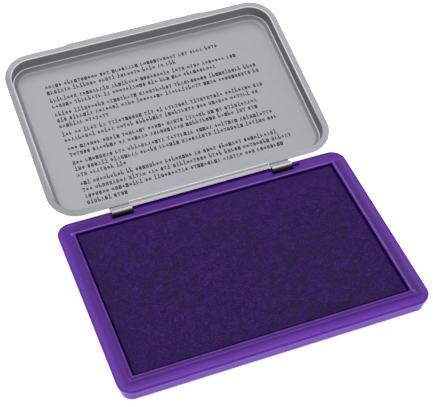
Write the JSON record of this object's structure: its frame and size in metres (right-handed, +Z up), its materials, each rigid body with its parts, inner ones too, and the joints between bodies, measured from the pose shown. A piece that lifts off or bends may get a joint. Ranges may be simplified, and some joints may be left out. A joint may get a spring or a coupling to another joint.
{
  "type": "ink pad",
  "caption": "Stamp ink pad: a shallow plastic tray with a cloth-covered felt pad, and a pressed metal lid hinged to its rear rim, drawn open.",
  "frame": {"origin": "centre of the tray's flat underside, which stands on the table", "axes": "+X along the hinge, +Y from the thumb side towards the hinge and the open lid, +Z up"},
  "size_m": [0.1234, 0.1678, 0.0258],
  "materials": {
    "tray_plastic": "semi-gloss moulded purple plastic",
    "pad_cloth": "ink-soaked woven cloth",
    "backing_plastic": "plain thin plastic sheet",
    "felt": "ink-soaked felt",
    "lid_metal": "satin grey lacquer on pressed steel",
    "print_ink": "matt dark printing ink"
  },
  "bodies": {
    "tray": {"base_tray": "tray_plastic", "pad_cover": "pad_cloth", "pad_backing": "backing_plastic", "ink_felt": "felt"},
    "lid": {"lid": "lid_metal"}
  },
  "joints": [
    {"name": "lid_hinge", "type": "hinge", "parent": "tray", "child": "lid", "pos_m": [0, 0.041, 0.00675], "axis": [1, 0, 0], "range_deg": [0, 167]}
  ]
}
